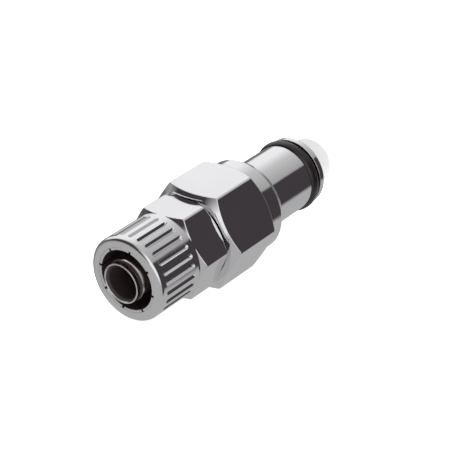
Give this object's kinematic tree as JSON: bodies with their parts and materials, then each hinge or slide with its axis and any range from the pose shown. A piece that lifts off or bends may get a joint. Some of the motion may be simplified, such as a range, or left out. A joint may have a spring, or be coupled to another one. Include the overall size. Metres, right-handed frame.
{
  "type": "valved coupling insert with tube clamp nut",
  "caption": "Chromed quick-disconnect coupling insert with a shut-off valve tip, a hexagonal body and a fluted nut that clamps plastic tube on a barbed stem.",
  "frame": {"origin": "on the axis, in the plane of the nut's front face, inside the mouth of the tube stem's bore", "axes": "+X along the axis from the nut to the valve tip, +Z the outward normal of the body hexagon's top flat, +Y completes a right-handed frame; the part lies on the hexagon's bottom flat"},
  "size_m": [0.0479, 0.0182, 0.0158],
  "materials": {
    "chrome": "polished chrome plate on brass",
    "nickel": "nickel plate on brass, slightly dull",
    "black_rubber": "smooth nitrile rubber, lightly greased",
    "white_acetal": "moulded natural white acetal",
    "spring_steel": "drawn stainless wire"
  },
  "bodies": {
    "coupling": {"insert_body": "chrome", "tube_stem": "nickel", "stem_seal": "black_rubber", "nose_o_ring": "black_rubber"},
    "grip_ring": {"tube_grip_ring": "nickel"},
    "nut": {"compression_nut": "chrome"},
    "poppet": {"valve_poppet": "white_acetal", "poppet_seal": "black_rubber", "valve_spring": "spring_steel"}
  },
  "joints": [
    {"name": "nut_advance", "type": "slide", "parent": "coupling", "child": "grip_ring", "axis": [-1, 0, 0], "range_m": [0, 0.005]},
    {"name": "nut_turn", "type": "hinge", "parent": "grip_ring", "child": "nut", "pos_m": [0.0075, 0, 0], "axis": [-1, 0, 0], "range_deg": [0, 1800]},
    {"name": "poppet_push", "type": "slide", "parent": "coupling", "child": "poppet", "axis": [-1, 0, 0], "range_m": [0, 0.004], "stiffness_N_per_m": 1200, "springref_m": -0.005, "deforming": ["valve_spring"]}
  ],
  "couplings": [
    {"joint": "nut_advance", "follows": "nut_turn", "m_per_rad": 0.00015915}
  ]
}
